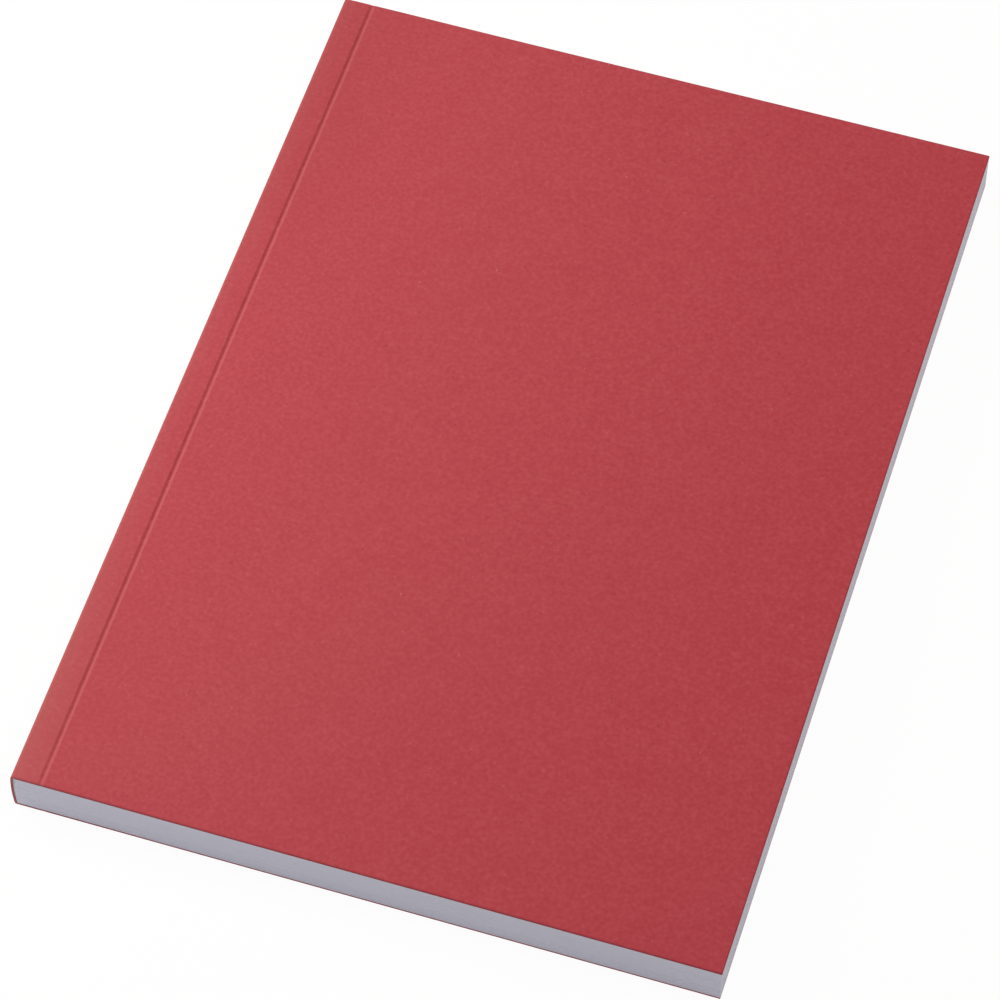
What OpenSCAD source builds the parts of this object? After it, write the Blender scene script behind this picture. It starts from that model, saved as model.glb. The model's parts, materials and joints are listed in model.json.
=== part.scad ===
// Softcover notebook, glued along its spine, lying closed on its back cover.
// Millimetres. X runs from the spine to the fore edge, Y from tail to head, Z up.
// The origin is the middle of the footprint, on the surface the notebook lies on.

/* [Leaves] */
// Height of the trimmed notebook from tail to head
trim_h = 210; // [140:1:300]
// Width of the trimmed notebook from the spine to the fore edge
trim_w = 148; // [100:1:215]
// Number of leaves in the block
leaf_count = 96; // [40:4:200]
// Thickness of one leaf
leaf_t = 0.1; // [0.06:0.005:0.16]

/* [Cover card] */
// Thickness of the cover card
card_t = 0.42; // [0.25:0.01:0.5]
// Inner radius of the card where it folds round the spine
fold_r = 0.1; // [0.1:0.05:1.2]

/* [Hinge crease] */
// Distance from the spine's outer face to the middle of each hinge crease
crease_x = 6.25; // [4:0.05:12]
// Width of the pressed groove at the surface of the card
crease_w = 1.5; // [0.8:0.1:2.4]
// Depth of the pressed groove
crease_d = 0.2; // [0.05:0.01:0.22]

/* [Binding glue] */
// Glue beside the spine fold at the block's corner under the front cover
glue_front_t = 0.55; // [0.15:0.05:1]
// Glue beside the spine fold at the block's corner on the back cover
glue_back_t = 0.1; // [0.05:0.05:0.6]
// Thickness of the side glue under each hinge strip
side_glue_t = 0.1; // [0.04:0.01:0.25]
// Bare margin between the side glue and the hinge crease
side_glue_margin = 1; // [0.4:0.1:2.5]

/* [Hidden] */
$fn = 96;

card_red = [0.72, 0.29, 0.32];
paper_white = [0.93, 0.93, 0.94];
glue_grey = [0.80, 0.82, 0.80];

// Heights of the layers, from the back cover's outer face up
block_bottom = card_t + side_glue_t;
block_top = block_bottom + leaf_count * leaf_t;
book_t = block_top + side_glue_t + card_t;

// The spine's outer face, the fore edge and the line both covers turn about
spine_x = -trim_w / 2;
fore_x = trim_w / 2;
hinge_x = spine_x + crease_x;

// Outer radius of each spine fold, which is also its centre's distance from the spine's face
fold_outer_r = fold_r + card_t;

// The inside of a round fold takes up this much room beside a block corner, which
// lies side_glue_t away from the cover
corner_rise = fold_r - side_glue_t;
fold_room = corner_rise > 0 ? fold_r - sqrt(fold_r * fold_r - corner_rise * corner_rise) : 0;
block_back_x = spine_x + card_t + fold_room + glue_back_t;
block_front_x = spine_x + card_t + fold_room + glue_front_t;

// The groove is part of a cylinder that lies along the crease
groove_r = (crease_w * crease_w / 4 + crease_d * crease_d) / (2 * crease_d);

// Extrudes a section drawn in X and Z along the height of the notebook
module along_spine() {
    translate([0, trim_h / 2, 0])
        rotate([90, 0, 0])
            linear_extrude(height = trim_h)
                children();
}

// The space inside the card's outer face, inset by a distance, as far as right_x
module inside_cover(inset, right_x) {
    fold_cx = spine_x + fold_outer_r;
    for (fold_cz = [fold_outer_r, book_t - fold_outer_r])
        translate([fold_cx, fold_cz]) circle(r = fold_outer_r - inset);
    translate([spine_x + inset, fold_outer_r])
        square([fold_outer_r, book_t - 2 * fold_outer_r]);
    translate([fold_cx, inset])
        square([right_x - fold_cx, book_t - 2 * inset]);
}

// The leaves' section: the spine side was milled a little out of square
module block_section() {
    polygon([
        [block_back_x, block_bottom],
        [fore_x, block_bottom],
        [fore_x, block_top],
        [block_front_x, block_top]
    ]);
}

// The pressed grooves of both hinge creases
module crease_grooves() {
    for (groove_cz = [crease_d - groove_r, book_t - crease_d + groove_r])
        translate([hinge_x, groove_cz]) circle(r = groove_r);
}

// One cover, from its hinge crease to the fore edge, with its underside at bottom_z
module cover_panel(bottom_z) {
    along_spine()
        difference() {
            translate([hinge_x, bottom_z]) square([fore_x - hinge_x, card_t]);
            crease_grooves();
        }
}

module page_block() {
    color(paper_white) along_spine() block_section();
}

module binding_glue() {
    color(glue_grey)
        along_spine()
            difference() {
                inside_cover(card_t, hinge_x - side_glue_margin);
                block_section();
            }
}

module cover_spine() {
    past_hinge_x = hinge_x + crease_w;
    color(card_red)
        along_spine()
            difference() {
                inside_cover(0, hinge_x);
                inside_cover(card_t, past_hinge_x);
                crease_grooves();
            }
}

module front_cover() {
    color(card_red) cover_panel(book_t - card_t);
}

module back_cover() {
    color(card_red) cover_panel(0);
}

page_block();
binding_glue();
cover_spine();
front_cover();
back_cover();
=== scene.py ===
import json
import math

import bmesh
import bpy
import numpy as np
from mathutils import Matrix, Vector


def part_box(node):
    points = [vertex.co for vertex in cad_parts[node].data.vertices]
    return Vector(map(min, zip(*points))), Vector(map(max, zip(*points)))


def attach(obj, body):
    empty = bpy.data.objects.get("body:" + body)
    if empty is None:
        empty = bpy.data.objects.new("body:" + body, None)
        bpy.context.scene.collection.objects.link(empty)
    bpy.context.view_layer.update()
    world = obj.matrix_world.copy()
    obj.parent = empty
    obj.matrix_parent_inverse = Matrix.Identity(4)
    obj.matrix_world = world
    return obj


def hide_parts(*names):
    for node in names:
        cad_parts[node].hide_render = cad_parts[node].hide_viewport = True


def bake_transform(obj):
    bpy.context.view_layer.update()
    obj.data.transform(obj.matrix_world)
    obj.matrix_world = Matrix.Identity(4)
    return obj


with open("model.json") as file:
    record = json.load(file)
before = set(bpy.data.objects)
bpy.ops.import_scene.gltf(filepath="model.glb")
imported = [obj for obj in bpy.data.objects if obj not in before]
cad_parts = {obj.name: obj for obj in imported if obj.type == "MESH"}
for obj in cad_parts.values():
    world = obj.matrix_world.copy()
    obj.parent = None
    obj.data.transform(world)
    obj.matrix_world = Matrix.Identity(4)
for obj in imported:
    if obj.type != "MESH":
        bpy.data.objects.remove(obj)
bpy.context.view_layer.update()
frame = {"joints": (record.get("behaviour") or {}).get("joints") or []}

MM = 0.001

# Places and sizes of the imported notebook
spine_low, spine_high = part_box("cover_spine")
block_low, block_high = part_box("page_block")
glue_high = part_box("binding_glue")[1]
TAIL_Y = spine_low.y
HEAD_Y = spine_high.y
SPINE_X = spine_low.x
FORE_X = block_high.x
TOP_Z = spine_high.z
CREASE_X = next(j["pos_m"][0] for j in frame["joints"] if j["name"] == "front_cover_hinge")
CARD_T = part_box("back_cover")[1].z
LEAF_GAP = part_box("front_cover")[0].z - block_high.z

# Card cover
CREASE_W = 1.5 * MM
CREASE_D = 0.31 * MM
CREASE_RIDGE = 0.05 * MM
CREASE_STEPS = 20
CREASE_END = 2.5 * MM
END_DEPTH = 0.35
TAIL_DEPTH = 0.65
TAIL_DEPTH_FALL = 4
CREASE_OFF = 0.03 * MM
CREASE_DRIFT = 0.18 * MM
FOLD_R = 0.06 * MM
FOLD_OUTER_R = 0.42 * MM
FOLD_STEPS = 10
SPINE_BOW = 0.26 * MM
SPINE_BOW_FULLNESS = 0.7
SPINE_STEPS = 24
STRIP_STEPS = 14
PANEL_STEPS = 44
ROWS = 64
TRIM_SOFTNESS = 0.02 * MM
ROLL_REACH = 0.45 * MM
ROLL_DROP = 0.24 * MM
ROLL_STEPS = 5
COVER_CREEP = 0.17 * MM
TRIM_ANGLE = math.radians(60)
SHARP_ANGLE = math.radians(50)

# Painted sheen: how much paler the card is painted where the lamp's whitish haze falls, towards the
# spine, on its folds, over the strip's tail, with a painted highlight on the crease's lit lip
SPINE_SHEEN = 0.08
FOLD_SHEEN = 0.11
FOLD_RIM_SHEEN = 0.2
FOLD_RIM_SHEEN_HALF = 0.45 * MM
FOLD_RIM_SHEEN_PLACE = 0.75
STRIP_SHEEN = 0.13
STRIP_SHEEN_REACH = 90 * MM
LIP_HIGHLIGHT = 0.34
LIP_HALF = 0.5 * MM
LIP_OFF = 0.41 * MM

# Painted shade: how much darker the card is painted at the head end of its spine strip, where less light
# falls, and along the crease's shaded flank
HEAD_SHADE = 0.13
HEAD_SHADE_REACH = 30 * MM
HEAD_SHADE_FROM = 0.1
HEAD_SHADE_FULL = 0.75
CREASE_SHADE = 0.08
LINE_HALF = 0.36 * MM
LINE_OFF = 0.28 * MM

# Painted shade at the front cover's tail and fore edge, where its rolled edge turns away from the light
EDGE_SHADE_WIDTH = 0.45 * MM
EDGE_SHADE = 0.38

# How strongly the card's mottle, clouds and flecks show
MOTTLE_CONTRAST = 1.38
CLOUD_CONTRAST = 0.22
PALENESS_CURVE = 1.4
FLUFF_SHOWS = 0.155
PALE_FIBRE_SHOWS = 0.4
DARK_FIBRE_SHOWS = 0.52
FIBRE_BEND = 0.35
FIBRE_BENDS = 3.0

# Heights of the finest unevenness, and how rough each surface is, from its smoothest to its roughest
CARD_TOOTH_SHARE = 0.4
CARD_MOTTLE_SHARE = 0.6
CARD_FIBRE_SHARE = 0.4
CARD_RELIEF = 0.03 * MM
PAPER_RELIEF = 0.01 * MM
GLUE_RELIEF = 0.04 * MM
CARD_ROUGHNESS = (0.78, 0.92)
PAPER_ROUGHNESS = (0.82, 0.93)
GLUE_ROUGHNESS = (0.35, 0.5)

# Lines on the leaves' cut edges: how many to the metre along X, Y and Z
CUT_LINES = (60.0, 60.0, 9000.0)

# Colours, as red, green and blue
CARD_DEEP = (0.418, 0.0308, 0.0457)
CARD_LIGHT = (0.521, 0.0735, 0.0895)
# Painted shade for the front cover's tail and fore edge
CARD_EDGE_SHADE = (0.3, 0.03, 0.04)
# Painted sheen and highlight near the spine and on the crease's lip
CARD_SHEEN = (0.52, 0.165, 0.15)
# Painted shade for the spine strip's head end and the crease's shaded flank
CARD_SHADE = (0.2, 0.02, 0.03)
FLUFF = (0.58, 0.28, 0.27)
PALE_FIBRE = (0.78, 0.34, 0.33)
DARK_FIBRE = (0.2, 0.02, 0.03)
PAPER_SHADE = (0.75, 0.738, 0.853)
PAPER_LIGHT = (0.822, 0.81, 0.924)
GLUE_DEEP = (0.5, 0.54, 0.6)
GLUE_MILKY = (0.66, 0.7, 0.76)
FLOOR_GREY = (0.8, 0.8, 0.8)
FLOOR_PALE = (0.98, 0.98, 0.98)
LAMP_WHITE = (1, 1, 1)
LAMP_WARM = (1, 0.94, 0.72)

# Leaves
LEAF_T = 0.1 * MM
LEAF_AIR = 0.004 * MM
LEAF_COUNT = round((block_high.z - block_low.z) / LEAF_T)
LEAF_CUTS = 33
LEAF_ROWS = 24
TRIM_SCATTER = 0.012 * MM
LEAF_SEED = 11

# Past the glued hinge strip, the leaves and the front cover sink on to what lies below them
GAP_LEFT = 0.02 * MM
SETTLE_START = 1.5 * MM
SETTLE_LENGTH = 32 * MM
COVER_LIFT = 0.05 * MM
WAVE_LENGTH = 128 * MM

# Binding glue, thickest at the block's corner under the front cover
GLUE_THIN = 0.1 * MM
GLUE_THICK = 0.52 * MM
WEDGE_HEIGHT = 3.8 * MM
WEDGE_REACH = 12 * MM
GLUE_GRIP = 0.03 * MM
GLUE_RECESS = 0.2 * MM

# Studio
FLOOR_SIZE = 8
FLOOR_DROP = 0.02 * MM
FLOOR_WHITE = 0.95
SOFT_LIGHT = 0.385

# Camera, standing where the photograph was taken from
CAMERA_AZIMUTH = math.radians(18.03)
CAMERA_ELEVATION = math.radians(56.52)
CAMERA_ROLL = math.radians(-0.556)
CAMERA_DISTANCE = 0.9988
CAMERA_AIM = Vector((-2.74 * MM, -5.85 * MM, 0))
SENSOR_W = 36
CAMERA_LENS = 171.1

seam_x = CREASE_X - CREASE_W / 2
sink = LEAF_GAP - GAP_LEFT
fold_in = FOLD_R + CARD_T


def graded(start, end, steps):
    """Places from start to end, closest together at both ends."""
    turn = np.linspace(0, math.pi, steps + 1)
    return start + (end - start) * (1 - np.cos(turn)) / 2


def smooth_step(t):
    """0 below 0, 1 above 1 and a smooth rise between them."""
    t = min(1.0, max(0.0, t))
    return t * t * (3 - 2 * t)


def crease_drift(y):
    """How far a crease lies past the line its cover turns about: it wanders off towards the head."""
    return CREASE_OFF + CREASE_DRIFT * smooth_step(y / HEAD_Y)


def pressed(x, y):
    """1 in the middle of a hinge crease, falling smoothly to 0 at both of its lips."""
    across = (x - CREASE_X - crease_drift(y)) / CREASE_W
    return (1 + math.cos(2 * math.pi * across)) / 2 if abs(across) < 0.5 else 0.0


def settled(x):
    """0 at the glued hinge strip, rising smoothly to 1 where a sheet lies on what is below it."""
    return smooth_step((x - CREASE_X - SETTLE_START) / SETTLE_LENGTH)


def crease_strength(y):
    """How strongly a crease is pressed at y: less towards the tail, and least at the trimmed ends."""
    from_end = HEAD_Y - abs(y)
    end = END_DEPTH + (1 - END_DEPTH) * smooth_step(from_end / CREASE_END)
    towards_tail = max(0.0, -y / HEAD_Y) ** TAIL_DEPTH_FALL
    return end * (1 - (1 - TAIL_DEPTH) * towards_tail)


def spine_side(z):
    """Where the leaf at height z starts: the block was milled back under the front cover."""
    wedge = (z - block_high.z + WEDGE_HEIGHT) / WEDGE_HEIGHT
    return block_low.x + (GLUE_THICK - GLUE_THIN) * smooth_step(wedge)


# Sheets of card and paper

def rolled(x, y):
    """How far the knife rolled the cover's front down at (x, y), near the tail and the fore edge."""
    from_edge = min(y - TAIL_Y, FORE_X - x)
    share = max(0.0, 1 - from_edge / ROLL_REACH)
    return ROLL_DROP * (1 - math.sqrt(max(0.0, 1 - share ** 2)))


def roll_places():
    """Distances from a trimmed edge to the lines across its rolled stretch, closest at the edge."""
    turn = np.linspace(0, math.pi / 2, ROLL_STEPS + 1)
    return ROLL_REACH * (1 - np.cos(turn))


def card_rows():
    """Rows of a sheet of card from its rolled tail to its head."""
    return [*(TAIL_Y + roll_places()[:-1]), *graded(TAIL_Y + ROLL_REACH, HEAD_Y, ROWS)]


def at_seam(edge):
    """True for an edge of the cut across the card at a crease, where two pieces of the cover meet."""
    return all(abs(v.co.x - seam_x) < 0.001 * MM for v in edge.verts)


def sheet_mesh(name, section, rows, trim=0.0):
    """A closed sheet from tail to head. At each row y, section(y) gives its outer and its inner line of
    (x, z) points, which match one to one. trim softens the cut edges."""
    bm = bmesh.new()
    loops = []
    for y in rows:
        outer, inner = section(y)
        ring = [*outer, *reversed(inner)]
        loops.append([bm.verts.new((x, y, z)) for x, z in ring])
    count = len(loops[0])
    for near, far in zip(loops, loops[1:]):
        for i in range(count):
            j = (i + 1) % count
            bm.faces.new((near[i], near[j], far[j], far[i]))
    for loop in (loops[0], loops[-1]):
        for i in range(count // 2 - 1):
            bm.faces.new((loop[i], loop[i + 1], loop[count - 2 - i], loop[count - 1 - i]))
    if trim:
        rims = [e for e in bm.edges if e.calc_face_angle(0) > TRIM_ANGLE and not at_seam(e)]
        bmesh.ops.bevel(
            bm, geom=rims, offset=trim, offset_type="OFFSET", segments=2, profile=0.5,
            affect="EDGES", clamp_overlap=True,
        )
    bmesh.ops.recalc_face_normals(bm, faces=bm.faces)
    mesh = bpy.data.meshes.new(name)
    bm.to_mesh(mesh)
    bm.free()
    mesh.shade_smooth()
    mesh.set_sharp_from_angle(angle=SHARP_ANGLE)
    return mesh


def keep_flat_place(mesh):
    """Keeps each point's place on the closed notebook, so that the card's pattern bends with it."""
    here = np.zeros(len(mesh.vertices) * 3, np.float32)
    mesh.vertices.foreach_get("co", here)
    mesh.attributes.new("flat_place", "FLOAT_VECTOR", "POINT").data.foreach_set("vector", here)


def piece_of(name, mesh, material, node):
    """A piece of the notebook with its material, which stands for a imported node."""
    piece = bpy.data.objects.new(name, mesh)
    bpy.context.scene.collection.objects.link(piece)
    mesh.materials.clear()
    mesh.materials.append(material)
    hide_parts(node)
    return piece


def cover_columns():
    """Places across a cover, from the crease's lip at the hinge strip to the fore edge."""
    crease_end = CREASE_X + CREASE_W / 2
    across_crease = np.linspace(seam_x, crease_end, CREASE_STEPS + 1)
    panel = graded(crease_end, FORE_X - ROLL_REACH, PANEL_STEPS)
    return [*across_crease[:-1], *panel, *(FORE_X - roll_places()[:-1][::-1])]


def front_sink(x, y):
    """How far the front cover sinks on to the leaves, less its slight waves."""
    wave = math.sin(2 * math.pi * x / WAVE_LENGTH) * math.cos(2 * math.pi * y / WAVE_LENGTH)
    return settled(x) * (2 * sink - COVER_LIFT * (1 + wave) / 2)


def crept(x, y):
    """How far the front cover has crept past the leaves: most at mid-height of its fore edge."""
    start = CREASE_X + CREASE_W
    share = max(0.0, (x - start) / (FORE_X - start))
    return COVER_CREEP * share * (1 - (y / HEAD_Y) ** 2 / 2)


def front_cover_card(material):
    """Front cover: from the hinge crease, pressed into its outer face, to the fore edge."""
    columns = cover_columns()

    def section(y):
        depth = crease_strength(y)
        outer, inner = [], []
        for x in columns:
            place_x = x + crept(x, y)
            face_z = TOP_Z - front_sink(x, y)
            groove = depth * pressed(x, y)
            outer.append((place_x, face_z - rolled(x, y) - CREASE_D * groove))
            inner.append((place_x, face_z - CARD_T - CREASE_RIDGE * groove))
        return outer, inner

    mesh = sheet_mesh("front_cover_card", section, card_rows(), TRIM_SOFTNESS)
    keep_flat_place(mesh)
    piece = piece_of("front_cover_card", mesh, material, "front_cover")
    bend_at_crease(piece)


def back_cover_card(material):
    """Back cover, which lies on the table: its crease is pressed in from below."""
    columns = cover_columns()

    def section(y):
        depth = crease_strength(y)
        outer = [(x, CREASE_D * depth * pressed(x, y)) for x in columns]
        inner = [(x, CARD_T + CREASE_RIDGE * depth * pressed(x, y)) for x in columns]
        return outer, inner

    mesh = sheet_mesh("back_cover_card", section, card_rows(), TRIM_SOFTNESS)
    keep_flat_place(mesh)
    piece = piece_of("back_cover_card", mesh, material, "back_cover")
    bend_at_crease(piece)


def bend_at_crease(piece):
    """Bakes a cover's placement into its mesh."""
    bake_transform(piece)


def spine_bow(z, fold_z):
    """How far the spine bulges at z between its two folds, which end fold_z away from either face."""
    share = (z - fold_z) / (TOP_Z - 2 * fold_z)
    return SPINE_BOW * math.sin(math.pi * share) ** SPINE_BOW_FULLNESS


def spine_line(inset, fold_r):
    """The spine card's line at a depth below its outer face: strip, fold, spine, fold and strip."""
    fold_z = inset + fold_r
    turns = np.linspace(0, math.pi / 2, FOLD_STEPS + 1)[1:]
    half = [(x, inset) for x in graded(seam_x, SPINE_X + fold_z, STRIP_STEPS)]
    half += [(SPINE_X + fold_z - fold_r * math.sin(t), fold_z - fold_r * math.cos(t)) for t in turns]
    heights = np.linspace(TOP_Z - fold_z, fold_z, SPINE_STEPS + 1)[1:-1]
    upper = [(x, TOP_Z - z) for x, z in half]
    spine = [(SPINE_X + inset - spine_bow(z, fold_z), z) for z in heights]
    return [*upper, *spine, *reversed(half)]


def spine_lines():
    """The spine card's outer and inner lines."""
    return spine_line(0.0, FOLD_OUTER_R), spine_line(CARD_T, FOLD_R)


def spine_card(material):
    """Spine of the cover with both hinge strips, as far as the creases."""
    outer, inner = spine_lines()

    def section(y):
        drop = rolled(SPINE_X, y)
        return [(x, z - drop * max(0.0, 1 - (TOP_Z - z) / FOLD_OUTER_R)) for x, z in outer], inner

    mesh = sheet_mesh("spine_card", section, card_rows(), TRIM_SOFTNESS)
    keep_flat_place(mesh)
    piece = piece_of("spine_card", mesh, material, "cover_spine")
    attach(piece, "book_block")


# Leaves and glue

def outer_leaf(name, low_z, material):
    """The first or the last leaf, whose blank page shows when its cover is open."""
    high_z = low_z + LEAF_T - LEAF_AIR
    columns = graded(spine_side(low_z), FORE_X, PANEL_STEPS)
    upper = [(x, high_z - sink * settled(x)) for x in columns]
    lower = [(x, low_z - sink * settled(x)) for x in columns]
    mesh = sheet_mesh(name, lambda y: (upper, lower), graded(TAIL_Y, HEAD_Y, LEAF_ROWS))
    piece = piece_of(name, mesh, material, "page_block")
    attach(piece, "book_block")


def feed(tree, socket, value):
    """Links a socket to another, or sets its value."""
    if isinstance(value, bpy.types.NodeSocket):
        tree.links.new(value, socket)
    else:
        socket.default_value = value


def node(tree, kind, inputs=None, **settings):
    """Adds a node with its settings. inputs gives its inputs, by name or number, values or sockets."""
    made = tree.nodes.new(kind)
    for name, value in settings.items():
        setattr(made, name, value)
    for key, value in (inputs or {}).items():
        feed(tree, made.inputs[key], value)
    return made


def calc(tree, operation, a, b=0.0):
    """The result of a Math node."""
    return node(tree, "ShaderNodeMath", {0: a, 1: b}, operation=operation).outputs[0]


def ramp(tree, value, from_min, from_max, to_min, to_max):
    """The result of a Map Range node that eases in and out."""
    inputs = {"Value": value, "From Min": from_min, "From Max": from_max}
    inputs |= {"To Min": to_min, "To Max": to_max}
    return node(tree, "ShaderNodeMapRange", inputs, interpolation_type="SMOOTHSTEP").outputs["Result"]


def open_group(name, kind, inputs, outputs):
    """A node group with named sockets, given as (name, socket type), and its input and output nodes."""
    tree = bpy.data.node_groups.new(name, kind)
    for label, socket_type in inputs:
        tree.interface.new_socket(name=label, in_out="INPUT", socket_type=socket_type)
    for label, socket_type in outputs:
        tree.interface.new_socket(name=label, in_out="OUTPUT", socket_type=socket_type)
    return tree, tree.nodes.new("NodeGroupInput").outputs, tree.nodes.new("NodeGroupOutput").inputs


LEAF_INPUTS = [
    ("Leaf Count", "NodeSocketInt"),
    ("Leaf Thickness", "NodeSocketFloat"),
    ("Leaf Pitch", "NodeSocketFloat"),
    ("Leaf Width", "NodeSocketFloat"),
    ("Leaf Height", "NodeSocketFloat"),
    ("Lowest Leaf", "NodeSocketVector"),
    ("Trim Scatter", "NodeSocketFloat"),
    ("Seed", "NodeSocketInt"),
    ("Settle From", "NodeSocketFloat"),
    ("Settle To", "NodeSocketFloat"),
    ("Sink", "NodeSocketFloat"),
    ("Spine Side", "NodeSocketFloat"),
    ("Wedge Reach", "NodeSocketFloat"),
    ("Wedge From", "NodeSocketFloat"),
    ("Wedge To", "NodeSocketFloat"),
    ("Wedge Width", "NodeSocketFloat"),
    ("Paper", "NodeSocketMaterial"),
]


def single_leaf(tree, given):
    """One leaf, with its cuts across closest together at the spine side."""
    width = given["Leaf Width"]
    sides = {"X": width, "Y": given["Leaf Height"], "Z": given["Leaf Thickness"]}
    size = node(tree, "ShaderNodeCombineXYZ", sides)
    flat = node(tree, "GeometryNodeMeshCube", {"Size": size.outputs[0], "Vertices X": LEAF_CUTS})
    here = node(tree, "GeometryNodeInputPosition").outputs[0]
    across = node(tree, "ShaderNodeSeparateXYZ", {0: here}).outputs["X"]
    share = calc(tree, "ADD", calc(tree, "DIVIDE", across, width), 0.5)
    crowded = calc(tree, "SUBTRACT", calc(tree, "MULTIPLY", share, share), share)
    move = node(tree, "ShaderNodeCombineXYZ", {"X": calc(tree, "MULTIPLY", crowded, width)})
    return node(
        tree, "GeometryNodeSetPosition", {"Geometry": flat.outputs["Mesh"], "Offset": move.outputs[0]}
    ).outputs[0]


def leaf_rest(tree, given):
    """How far each point of a stacked leaf moves: past the glue's wedge, and down on to those below."""
    here = node(tree, "GeometryNodeInputPosition").outputs[0]
    place = node(tree, "ShaderNodeSeparateXYZ", {0: here}).outputs
    far_end = calc(tree, "ADD", given["Spine Side"], given["Wedge Reach"])
    near_spine = ramp(tree, place["X"], given["Spine Side"], far_end, 1.0, 0.0)
    wedge = ramp(tree, place["Z"], given["Wedge From"], given["Wedge To"], 0.0, given["Wedge Width"])
    down = ramp(tree, place["X"], given["Settle From"], given["Settle To"], 0.0, given["Sink"])
    return node(
        tree, "ShaderNodeCombineXYZ",
        {"X": calc(tree, "MULTIPLY", near_spine, wedge), "Z": calc(tree, "MULTIPLY", down, -1.0)},
    ).outputs[0]


def leaf_tree():
    """Stacks the leaves: thin sheets, trimmed a hair off their neighbours and settled on those below."""
    tree, given, put = open_group(
        "stacked_leaves", "GeometryNodeTree", LEAF_INPUTS, [("Leaves", "NodeSocketGeometry")]
    )
    pitch = node(tree, "ShaderNodeCombineXYZ", {"Z": given["Leaf Pitch"]}).outputs[0]
    line = node(
        tree, "GeometryNodeMeshLine",
        {"Count": given["Leaf Count"], "Start Location": given["Lowest Leaf"], "Offset": pitch},
    )
    stack = node(
        tree, "GeometryNodeInstanceOnPoints",
        {"Points": line.outputs["Mesh"], "Instance": single_leaf(tree, given)},
    )
    scatter = given["Trim Scatter"]
    reach = node(tree, "ShaderNodeCombineXYZ", {"X": scatter, "Y": scatter}).outputs[0]
    back_reach = node(tree, "ShaderNodeVectorMath", {0: reach, "Scale": -1.0}, operation="SCALE")
    off = node(tree, "FunctionNodeRandomValue", {"Seed": given["Seed"]}, data_type="FLOAT_VECTOR")
    tree.links.new(back_reach.outputs[0], off.inputs["Min"])
    tree.links.new(reach, off.inputs["Max"])
    trimmed = node(
        tree, "GeometryNodeTranslateInstances",
        {"Instances": stack.outputs[0], "Translation": off.outputs["Value"], "Local Space": False},
    )
    solid = node(tree, "GeometryNodeRealizeInstances", {"Geometry": trimmed.outputs[0]})
    laid = node(
        tree, "GeometryNodeSetPosition", {"Geometry": solid.outputs[0], "Offset": leaf_rest(tree, given)}
    )
    papered = node(
        tree, "GeometryNodeSetMaterial", {"Geometry": laid.outputs[0], "Material": given["Paper"]}
    )
    tree.links.new(papered.outputs[0], put["Leaves"])
    return tree


def set_modifier(modifier, values):
    """Sets a Geometry Nodes modifier's inputs, given by name, through their identifiers."""
    for item in modifier.node_group.interface.items_tree:
        if item.item_type == "SOCKET" and item.in_out == "INPUT":
            modifier[item.identifier] = values[item.name]


def inner_leaves(material):
    """All the leaves between the first and the last."""
    lowest_z = block_low.z + LEAF_T + (LEAF_T - LEAF_AIR) / 2
    values = {
        "Leaf Count": LEAF_COUNT - 2,
        "Leaf Thickness": LEAF_T - LEAF_AIR,
        "Leaf Pitch": LEAF_T,
        "Leaf Width": FORE_X - block_low.x,
        "Leaf Height": HEAD_Y - TAIL_Y,
        "Lowest Leaf": ((FORE_X + block_low.x) / 2, (HEAD_Y + TAIL_Y) / 2, lowest_z),
        "Trim Scatter": TRIM_SCATTER,
        "Seed": LEAF_SEED,
        "Settle From": CREASE_X + SETTLE_START,
        "Settle To": CREASE_X + SETTLE_START + SETTLE_LENGTH,
        "Sink": sink,
        "Spine Side": block_low.x,
        "Wedge Reach": WEDGE_REACH,
        "Wedge From": block_high.z - WEDGE_HEIGHT,
        "Wedge To": block_high.z,
        "Wedge Width": GLUE_THICK - GLUE_THIN,
        "Paper": material,
    }
    maker = bpy.data.objects.new("inner_leaves", bpy.data.meshes.new("inner_leaves_seed"))
    bpy.context.scene.collection.objects.link(maker)
    modifier = maker.modifiers.new("stacked_leaves", "NODES")
    modifier.node_group = leaf_tree()
    set_modifier(modifier, values)
    whole = maker.evaluated_get(bpy.context.evaluated_depsgraph_get())
    mesh = bpy.data.meshes.new_from_object(whole)
    bpy.data.objects.remove(maker)
    mesh.name = "inner_leaves"
    mesh.shade_flat()
    piece = piece_of("inner_leaves", mesh, material, "page_block")
    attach(piece, "book_block")


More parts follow.
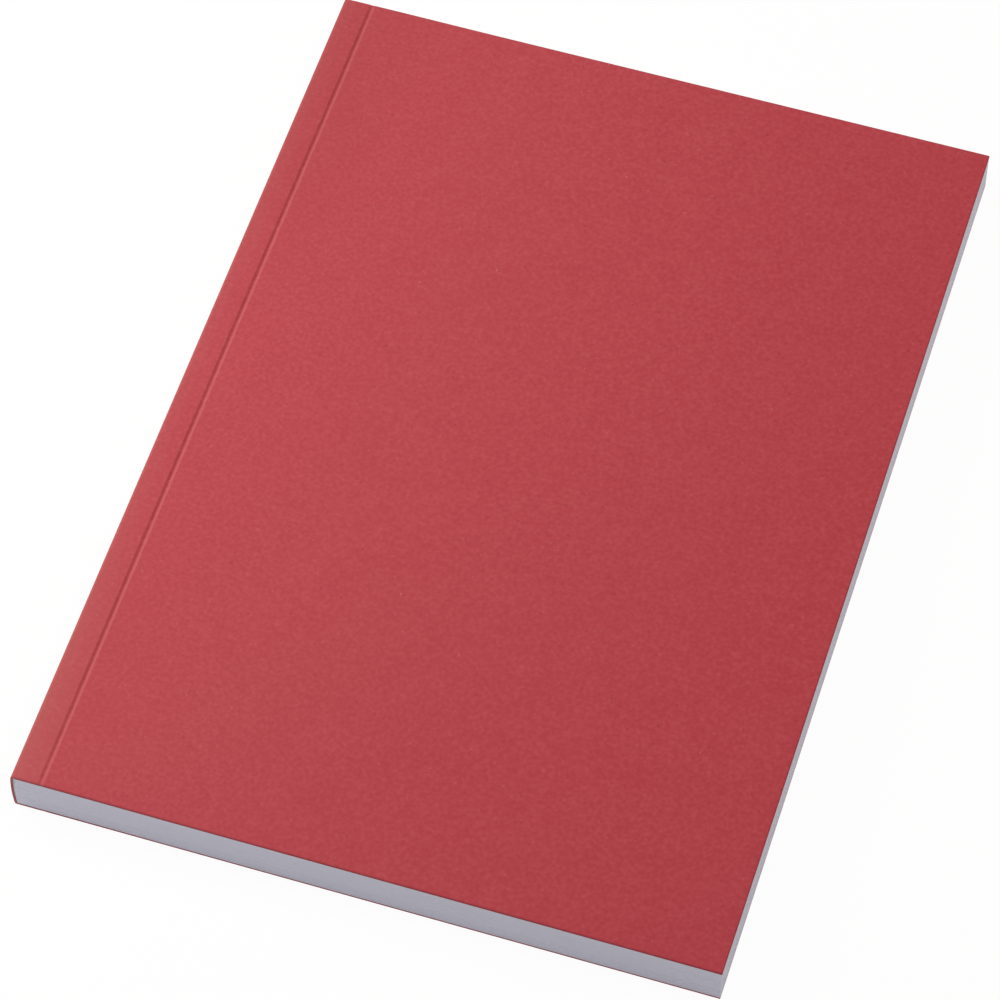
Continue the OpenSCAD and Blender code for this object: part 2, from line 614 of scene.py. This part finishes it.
def glue_lines():
    """The glue's line against the card, and its matching line against the leaves."""
    fold_x = SPINE_X + fold_in
    corner = GLUE_GRIP + FOLD_R / 2
    strip = graded(glue_high.x, fold_x, STRIP_STEPS)
    leaf_top = block_high.z - GLUE_GRIP
    leaf_bottom = block_low.z + GLUE_GRIP
    outer = [(x, TOP_Z - CARD_T) for x in strip]
    leaf_strip = graded(glue_high.x, spine_side(leaf_top) + corner, STRIP_STEPS)
    inner = [(x, leaf_top) for x in leaf_strip]
    quarter = np.linspace(0, math.pi / 2, FOLD_STEPS + 1)[1:]

    def leaf_corner(turn, round_z):
        along = GLUE_GRIP + (corner - GLUE_GRIP) * (1 - math.sin(turn))
        return spine_side(round_z) + along, round_z

    for turn in quarter:
        outer.append((fold_x - FOLD_R * math.sin(turn), TOP_Z - fold_in + FOLD_R * math.cos(turn)))
        inner.append(leaf_corner(turn, leaf_top - corner * (1 - math.cos(turn))))
    card_z = np.linspace(TOP_Z - fold_in, fold_in, SPINE_STEPS + 1)
    leaf_z = np.linspace(leaf_top - corner, leaf_bottom + corner, SPINE_STEPS + 1)
    for z, beside in zip(card_z[1:-1], leaf_z[1:-1]):
        outer.append((SPINE_X + CARD_T - spine_bow(z, fold_in), z))
        inner.append((spine_side(beside) + GLUE_GRIP, beside))
    for turn in quarter[::-1]:
        outer.append((fold_x - FOLD_R * math.sin(turn), fold_in - FOLD_R * math.cos(turn)))
        inner.append(leaf_corner(turn, leaf_bottom + corner * (1 - math.cos(turn))))
    back_strip = graded(spine_side(leaf_bottom) + corner, glue_high.x, STRIP_STEPS)
    outer += [(x, CARD_T) for x in strip[::-1]]
    inner += [(x, leaf_bottom) for x in back_strip]
    return outer, inner


def glue_film(material):
    """Glue between the block's milled side and the spine, and under both hinge strips."""
    lines = glue_lines()
    rows = graded(TAIL_Y + GLUE_RECESS, HEAD_Y - GLUE_RECESS, LEAF_ROWS)
    mesh = sheet_mesh("glue_film", lambda y: lines, rows)
    piece = piece_of("glue_film", mesh, material, "binding_glue")
    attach(piece, "book_block")


# Surface effects that the materials share

def pattern_place(tree, place, size):
    """A pattern's coordinate: the place, with one unit for each stretch of that size."""
    scale = calc(tree, "DIVIDE", 1.0, size)
    return node(tree, "ShaderNodeVectorMath", {0: place, "Scale": scale}, operation="SCALE").outputs[0]


def cloudy(tree, place, size, detail, roughness):
    """Noise about 0.5 with features of one size."""
    inputs = {"Vector": pattern_place(tree, place, size), "Scale": 1.0}
    inputs |= {"Detail": detail, "Roughness": roughness}
    return node(tree, "ShaderNodeTexNoise", inputs).outputs["Fac"]


def stretched(tree, noise, contrast):
    """Noise about 0.5 with its contrast raised."""
    off = calc(tree, "MULTIPLY", calc(tree, "SUBTRACT", noise, 0.5), contrast)
    return calc(tree, "ADD", off, 0.5)


def paper_tooth():
    """Uneven surface of uncoated paper: its fine tooth, soft mottle and wide clouds of pulp."""
    inputs = [("Place", "NodeSocketVector")]
    inputs += [(label, "NodeSocketFloat") for label in ("Tooth Size", "Mottle Size", "Cloud Size")]
    outputs = [(label, "NodeSocketFloat") for label in ("Tooth", "Mottle", "Cloud")]
    tree, given, put = open_group("paper_tooth", "ShaderNodeTree", inputs, outputs)
    place = given["Place"]
    feed(tree, put["Tooth"], cloudy(tree, place, given["Tooth Size"], detail=2.0, roughness=0.5))
    feed(tree, put["Mottle"], cloudy(tree, place, given["Mottle Size"], detail=1.5, roughness=0.45))
    feed(tree, put["Cloud"], cloudy(tree, place, given["Cloud Size"], detail=3.0, roughness=0.5))
    return tree


def loose_fibres():
    """Short loose fibres in the pulp: a mask that is 1 on a few scattered specks."""
    inputs = [("Place", "NodeSocketVector")]
    inputs += [(label, "NodeSocketFloat") for label in ("Spacing", "Speck Width", "Share")]
    outputs = [("Specks", "NodeSocketFloat")]
    tree, given, put = open_group("loose_fibres", "ShaderNodeTree", inputs, outputs)
    spread = pattern_place(tree, given["Place"], given["Spacing"])
    sway_inputs = {"Vector": spread, "Scale": FIBRE_BENDS, "Detail": 1.0}
    sway = node(tree, "ShaderNodeTexNoise", sway_inputs).outputs["Color"]
    bent_inputs = {0: sway, 1: (FIBRE_BEND, FIBRE_BEND, FIBRE_BEND), 2: spread}
    bent = node(tree, "ShaderNodeVectorMath", bent_inputs, operation="MULTIPLY_ADD")
    cells = node(tree, "ShaderNodeTexVoronoi", {"Vector": bent.outputs[0], "Scale": 1.0})
    near = ramp(tree, cells.outputs["Distance"], 0.0, given["Speck Width"], 1.0, 0.0)
    chance = node(tree, "ShaderNodeSeparateColor", {0: cells.outputs["Color"]}).outputs[0]
    chosen = calc(tree, "LESS_THAN", chance, given["Share"])
    feed(tree, put["Specks"], calc(tree, "MULTIPLY", near, chosen))
    return tree


def knife_press():
    """Painted shade on the front cover's rolled tail and fore edge, which turn away from the light: 1 at
    these edges, and half as wide at the fore edge."""
    inputs = [("Place", "NodeSocketVector")]
    inputs += [(label, "NodeSocketFloat") for label in ("Tail", "Fore Edge", "Middle", "Press Width")]
    outputs = [("Press", "NodeSocketFloat")]
    tree, given, put = open_group("knife_press", "ShaderNodeTree", inputs, outputs)
    place = node(tree, "ShaderNodeSeparateXYZ", {0: given["Place"]}).outputs
    from_tail = calc(tree, "SUBTRACT", place["Y"], given["Tail"])
    from_fore = calc(tree, "SUBTRACT", given["Fore Edge"], place["X"])
    nearest = calc(tree, "MINIMUM", from_tail, calc(tree, "MULTIPLY", from_fore, 2.0))
    ragged = cloudy(tree, given["Place"], given["Press Width"], detail=3.0, roughness=0.6)
    about_one = calc(tree, "MULTIPLY", ragged, 2.0)
    reach = calc(tree, "MULTIPLY", about_one, given["Press Width"])
    in_front = calc(tree, "GREATER_THAN", place["Z"], given["Middle"])
    edge_shade_mask = calc(tree, "MULTIPLY", ramp(tree, nearest, 0.0, reach, 1.0, 0.0), in_front)
    feed(tree, put["Press"], edge_shade_mask)
    return tree


def hinge_wear():
    """Painted sheen: paler card towards the spine, on its folds and over the strip's tail, and a painted
    highlight on the crease's far lip.
    """
    tree, given, put = open_group(
        "hinge_wear", "ShaderNodeTree", [("Place", "NodeSocketVector")], [("Wear", "NodeSocketFloat")]
    )
    place = node(tree, "ShaderNodeSeparateXYZ", {0: given["Place"]}).outputs
    spine_sheen = ramp(tree, place["X"], SPINE_X, FORE_X, SPINE_SHEEN, 0.0)
    fold = ramp(tree, place["X"], SPINE_X, CREASE_X - CREASE_W, FOLD_SHEEN, 0.0)
    strip = ramp(tree, place["X"], CREASE_X - CREASE_W / 2, CREASE_X, STRIP_SHEEN, 0.0)
    tail = ramp(tree, place["Y"], TAIL_Y, TAIL_Y + STRIP_SHEEN_REACH, 1.0, 0.0)
    fold_rim_x = SPINE_X + FOLD_OUTER_R * FOLD_RIM_SHEEN_PLACE
    from_fold = calc(tree, "ABSOLUTE", calc(tree, "SUBTRACT", place["X"], fold_rim_x))
    fold_rim_sheen = ramp(tree, from_fold, 0.0, FOLD_RIM_SHEEN_HALF, FOLD_RIM_SHEEN, 0.0)
    start_x = CREASE_X + LIP_OFF
    lip_x = ramp(tree, place["Y"], 0.0, HEAD_Y, start_x, start_x + CREASE_DRIFT)
    from_lip = calc(tree, "ABSOLUTE", calc(tree, "SUBTRACT", place["X"], lip_x))
    lip = ramp(tree, from_lip, 0.0, LIP_HALF, LIP_HIGHLIGHT, 0.0)
    sheen_sum = calc(tree, "ADD", calc(tree, "ADD", spine_sheen, fold), calc(tree, "MULTIPLY", strip, tail))
    feed(tree, put["Wear"], calc(tree, "ADD", sheen_sum, calc(tree, "ADD", fold_rim_sheen, lip)))
    return tree


def hinge_dull():
    """Painted shade: darker card at the head end of the spine strip, and along the crease's shaded
    flank.
    """
    tree, given, put = open_group(
        "hinge_dull", "ShaderNodeTree", [("Place", "NodeSocketVector")], [("Dull", "NodeSocketFloat")]
    )
    place = node(tree, "ShaderNodeSeparateXYZ", {0: given["Place"]}).outputs
    near_spine = ramp(tree, place["X"], SPINE_X, SPINE_X + HEAD_SHADE_REACH, HEAD_SHADE, 0.0)
    near_head = ramp(tree, place["Y"], HEAD_Y * HEAD_SHADE_FROM, HEAD_Y * HEAD_SHADE_FULL, 0.0, 1.0)
    start_x = CREASE_X - LINE_OFF
    line_x = ramp(tree, place["Y"], 0.0, HEAD_Y, start_x, start_x + CREASE_DRIFT)
    from_line = calc(tree, "ABSOLUTE", calc(tree, "SUBTRACT", place["X"], line_x))
    line = ramp(tree, from_line, 0.0, LINE_HALF, CREASE_SHADE, 0.0)
    feed(tree, put["Dull"], calc(tree, "ADD", calc(tree, "MULTIPLY", near_spine, near_head), line))
    return tree


# Materials

def open_material(name):
    """A new node material, its tree and its Principled shader."""
    material = bpy.data.materials.new(name)
    material.use_nodes = True
    tree = material.node_tree
    return material, tree, tree.nodes["Principled BSDF"]


def effect(tree, group, inputs):
    """A shared effect in a material, with its own values, and its outputs."""
    made = node(tree, "ShaderNodeGroup", node_tree=group)
    for key, value in inputs.items():
        feed(tree, made.inputs[key], value)
    return made.outputs


def mixed(tree, factor, a, b):
    """A colour between a and b. Each is a socket or a red, green and blue."""
    mix = node(tree, "ShaderNodeMix", {"Factor": factor}, data_type="RGBA")
    for socket, value in zip((mix.inputs[6], mix.inputs[7]), (a, b)):
        feed(tree, socket, value if isinstance(value, bpy.types.NodeSocket) else (*value, 1))
    return mix.outputs[2]


def bumped(tree, height, distance):
    """A normal raised by height, 0 to 1, times a distance in metres."""
    return node(tree, "ShaderNodeBump", {"Height": height, "Distance": distance}).outputs[0]


def uneven(tree, pattern, roughness):
    """A roughness that follows a pattern, between its smoothest and its roughest."""
    return ramp(tree, pattern, 0.2, 0.8, *roughness)


def flecks(tree, fibre_group, place, spacing, width, share):
    """The mask of one kind of fleck in the card."""
    inputs = {"Place": place, "Spacing": spacing, "Speck Width": width, "Share": share}
    return effect(tree, fibre_group, inputs)["Specks"]


def tinted(tree, mask, strength, colour, tint):
    """A colour with a tint mixed in where a mask is 1, at a strength."""
    return mixed(tree, calc(tree, "MULTIPLY", mask, strength), colour, tint)


def red_card(tooth_group, fibre_group, edge_shade_group, sheen_group, shade_group):
    """Uncoated card, dyed red through its whole thickness."""
    material, tree, shader = open_material("red_card")
    place = node(tree, "ShaderNodeAttribute", attribute_name="flat_place").outputs["Vector"]
    paper = effect(
        tree, tooth_group,
        {"Place": place, "Tooth Size": 0.35 * MM, "Mottle Size": 0.9 * MM, "Cloud Size": 9 * MM},
    )
    mottle = stretched(tree, paper["Mottle"], MOTTLE_CONTRAST)
    cloud = calc(tree, "MULTIPLY", calc(tree, "SUBTRACT", paper["Cloud"], 0.5), CLOUD_CONTRAST)
    depth = node(tree, "ShaderNodeClamp", {"Value": calc(tree, "ADD", mottle, cloud)}).outputs[0]
    paleness = calc(tree, "POWER", depth, PALENESS_CURVE)
    colour = mixed(tree, paleness, CARD_DEEP, CARD_LIGHT)
    fluff = flecks(tree, fibre_group, place, spacing=1.6 * MM, width=0.24, share=0.33)
    colour = tinted(tree, fluff, FLUFF_SHOWS, colour, FLUFF)
    pale = flecks(tree, fibre_group, place, spacing=3.1 * MM, width=0.075, share=0.3)
    colour = tinted(tree, pale, PALE_FIBRE_SHOWS, colour, PALE_FIBRE)
    dark = flecks(tree, fibre_group, place, spacing=2.2 * MM, width=0.18, share=0.4)
    colour = tinted(tree, dark, DARK_FIBRE_SHOWS, colour, DARK_FIBRE)
    edges = {"Tail": TAIL_Y, "Fore Edge": FORE_X + COVER_CREEP, "Middle": TOP_Z / 2}
    # Painted shade on the front cover's tail and fore edge
    edge_shade = effect(tree, edge_shade_group, {"Place": place, "Press Width": EDGE_SHADE_WIDTH, **edges})
    colour = tinted(tree, edge_shade["Press"], EDGE_SHADE, colour, CARD_EDGE_SHADE)
    # Painted sheen near the spine and a painted highlight on the crease's lip
    sheen = effect(tree, sheen_group, {"Place": place})
    colour = mixed(tree, sheen["Wear"], colour, CARD_SHEEN)
    # Painted shade at the head of the spine strip and on the crease's shaded flank
    head_and_crease_shade = effect(tree, shade_group, {"Place": place})
    colour = mixed(tree, head_and_crease_shade["Dull"], colour, CARD_SHADE)
    feed(tree, shader.inputs["Base Color"], colour)
    feed(tree, shader.inputs["Roughness"], uneven(tree, paper["Mottle"], CARD_ROUGHNESS))
    fine = calc(tree, "MULTIPLY", paper["Tooth"], CARD_TOOTH_SHARE)
    soft = calc(tree, "MULTIPLY", paper["Mottle"], CARD_MOTTLE_SHARE)
    raised = calc(tree, "MULTIPLY", pale, CARD_FIBRE_SHARE)
    height = calc(tree, "ADD", calc(tree, "ADD", fine, soft), raised)
    feed(tree, shader.inputs["Normal"], bumped(tree, height, CARD_RELIEF))
    shader.inputs["IOR"].default_value = 1.42
    return material


def white_leaves(tooth_group):
    """Blank writing paper, a faint blue-violet white, with the lines of its cut edges."""
    material, tree, shader = open_material("white_leaves")
    place = node(tree, "ShaderNodeTexCoord").outputs["Object"]
    paper = effect(
        tree, tooth_group,
        {"Place": place, "Tooth Size": 0.3 * MM, "Mottle Size": 1.2 * MM, "Cloud Size": 8 * MM},
    )
    along = node(tree, "ShaderNodeMapping", {"Vector": place, "Scale": CUT_LINES}).outputs[0]
    line_inputs = {"Vector": along, "Scale": 1.0, "Detail": 2.0}
    lines = node(tree, "ShaderNodeTexNoise", line_inputs).outputs["Fac"]
    tone = calc(tree, "MULTIPLY", calc(tree, "ADD", paper["Cloud"], lines), 0.5)
    colour = mixed(tree, tone, PAPER_SHADE, PAPER_LIGHT)
    feed(tree, shader.inputs["Base Color"], colour)
    feed(tree, shader.inputs["Roughness"], uneven(tree, paper["Mottle"], PAPER_ROUGHNESS))
    height = calc(tree, "MULTIPLY", calc(tree, "ADD", paper["Tooth"], paper["Mottle"]), 0.5)
    feed(tree, shader.inputs["Normal"], bumped(tree, height, PAPER_RELIEF))
    shader.inputs["IOR"].default_value = 1.45
    return material


def set_glue(tooth_group):
    """Set hot glue: milky grey, a little glossy."""
    material, tree, shader = open_material("set_glue")
    place = node(tree, "ShaderNodeTexCoord").outputs["Object"]
    flow = effect(
        tree, tooth_group,
        {"Place": place, "Tooth Size": 0.5 * MM, "Mottle Size": 1.5 * MM, "Cloud Size": 5 * MM},
    )
    feed(tree, shader.inputs["Base Color"], mixed(tree, flow["Mottle"], GLUE_DEEP, GLUE_MILKY))
    feed(tree, shader.inputs["Roughness"], uneven(tree, flow["Cloud"], GLUE_ROUGHNESS))
    feed(tree, shader.inputs["Normal"], bumped(tree, flow["Mottle"], GLUE_RELIEF))
    shader.inputs["IOR"].default_value = 1.48
    return material


# Studio

def seen_directly(tree):
    """1 for what the camera sees, also in a reflection or through glass, and 0 for the light itself."""
    path = node(tree, "ShaderNodeLightPath").outputs
    seen = calc(tree, "MAXIMUM", path["Is Camera Ray"], path["Is Glossy Ray"])
    return calc(tree, "MAXIMUM", seen, path["Is Transmission Ray"])


def under_notebook(tree):
    """1 on the part of the floor that the closed notebook covers."""
    here = node(tree, "ShaderNodeTexCoord").outputs["Object"]
    place = node(tree, "ShaderNodeSeparateXYZ", {0: here}).outputs
    within_width = calc(tree, "LESS_THAN", calc(tree, "ABSOLUTE", place["X"]), FORE_X)
    within_height = calc(tree, "LESS_THAN", calc(tree, "ABSOLUTE", place["Y"]), HEAD_Y)
    return calc(tree, "MULTIPLY", within_width, within_height)


def studio_floor():
    """Plain pale floor, which keeps the notebook's shadow. From below it is clear, and under the
    notebook it lets the soft light through, so that the underside isn't black from there."""
    bpy.ops.mesh.primitive_plane_add(size=FLOOR_SIZE, location=(0, 0, -FLOOR_DROP))
    floor = bpy.context.object
    floor.name = "floor"
    material, tree, shader = open_material("pale_floor")
    tree.nodes.remove(shader)
    seen = seen_directly(tree)
    colour = mixed(tree, seen, FLOOR_GREY, FLOOR_PALE)
    matte = node(tree, "ShaderNodeBsdfDiffuse", {"Color": colour})
    white = node(tree, "ShaderNodeEmission", {"Color": (1, 1, 1, 1), "Strength": 1.0})
    share = calc(tree, "MULTIPLY", seen, FLOOR_WHITE)
    lit = node(tree, "ShaderNodeMixShader", {0: share, 1: matte.outputs[0], 2: white.outputs[0]})
    behind = node(tree, "ShaderNodeNewGeometry").outputs["Backfacing"]
    clear = node(tree, "ShaderNodeBsdfTransparent")
    let_through = calc(tree, "MULTIPLY", under_notebook(tree), calc(tree, "SUBTRACT", 1.0, seen))
    opened = calc(tree, "MAXIMUM", behind, let_through)
    both = node(tree, "ShaderNodeMixShader", {0: opened, 1: lit.outputs[0], 2: clear.outputs[0]})
    feed(tree, tree.nodes["Material Output"].inputs["Surface"], both.outputs[0])
    floor.data.materials.append(material)


def studio_world():
    """Even soft light from all round, and a white background."""
    world = bpy.data.worlds.new("studio")
    world.use_nodes = True
    bpy.context.scene.world = world
    tree = world.node_tree
    tree.nodes.clear()
    seen = seen_directly(tree)
    soft = node(tree, "ShaderNodeBackground", {"Color": (1, 1, 1, 1), "Strength": SOFT_LIGHT})
    white = node(tree, "ShaderNodeBackground", {"Color": (1, 1, 1, 1), "Strength": 1.0})
    sky = node(tree, "ShaderNodeMixShader", {0: seen, 1: soft.outputs[0], 2: white.outputs[0]})
    out = node(tree, "ShaderNodeOutputWorld")
    tree.links.new(sky.outputs[0], out.inputs["Surface"])


def studio_lamp(name, azimuth, elevation, distance, size, power, colour):
    """A square soft lamp that faces the notebook. Its azimuth, in degrees, starts at the fore edge."""
    around = math.radians(azimuth)
    up = math.radians(elevation)
    reach = distance * math.cos(up)
    place = Vector((reach * math.cos(around), reach * math.sin(around), distance * math.sin(up)))
    lamp = bpy.data.lights.new(name, "AREA")
    lamp.shape = "SQUARE"
    lamp.size = size
    lamp.energy = power
    lamp.color = colour
    holder = bpy.data.objects.new(name, lamp)
    holder.location = place
    holder.rotation_euler = (-place).to_track_quat("-Z", "Y").to_euler()
    bpy.context.scene.collection.objects.link(holder)


def studio_camera():
    """The camera, where the photograph was taken from, with its slight roll."""
    back = Vector((
        math.sin(CAMERA_AZIMUTH) * math.cos(CAMERA_ELEVATION),
        -math.cos(CAMERA_AZIMUTH) * math.cos(CAMERA_ELEVATION),
        math.sin(CAMERA_ELEVATION),
    ))
    right = Vector((math.cos(CAMERA_AZIMUTH), math.sin(CAMERA_AZIMUTH), 0))
    up = back.cross(right)
    rolled_right = math.cos(CAMERA_ROLL) * right + math.sin(CAMERA_ROLL) * up
    rolled_up = math.cos(CAMERA_ROLL) * up - math.sin(CAMERA_ROLL) * right
    camera = bpy.data.cameras.new("camera")
    camera.sensor_width = SENSOR_W
    camera.lens = CAMERA_LENS
    camera.clip_start = 0.01
    camera.clip_end = 50
    holder = bpy.data.objects.new("camera", camera)
    turn = Matrix((rolled_right, rolled_up, back)).transposed()
    holder.matrix_world = Matrix.Translation(CAMERA_AIM + back * CAMERA_DISTANCE) @ turn.to_4x4()
    bpy.context.scene.collection.objects.link(holder)
    bpy.context.scene.camera = holder


bpy.context.scene.view_settings.view_transform = "Standard"
tooth_group = paper_tooth()
fibre_group = loose_fibres()
card = red_card(tooth_group, fibre_group, knife_press(), hinge_wear(), hinge_dull())
paper = white_leaves(tooth_group)
glue = set_glue(tooth_group)

spine_card(card)
front_cover_card(card)
back_cover_card(card)
outer_leaf("last_leaf", block_low.z, paper)
inner_leaves(paper)
outer_leaf("first_leaf", block_high.z - LEAF_T, paper)
glue_film(glue)

studio_floor()
studio_world()
studio_lamp(
    "key_lamp", azimuth=179, elevation=44, distance=0.46, size=0.28, power=1.37, colour=LAMP_WHITE
)
studio_lamp(
    "fore_edge_lamp", azimuth=45, elevation=55, distance=0.69, size=0.45, power=0.98, colour=LAMP_WARM
)
studio_camera()
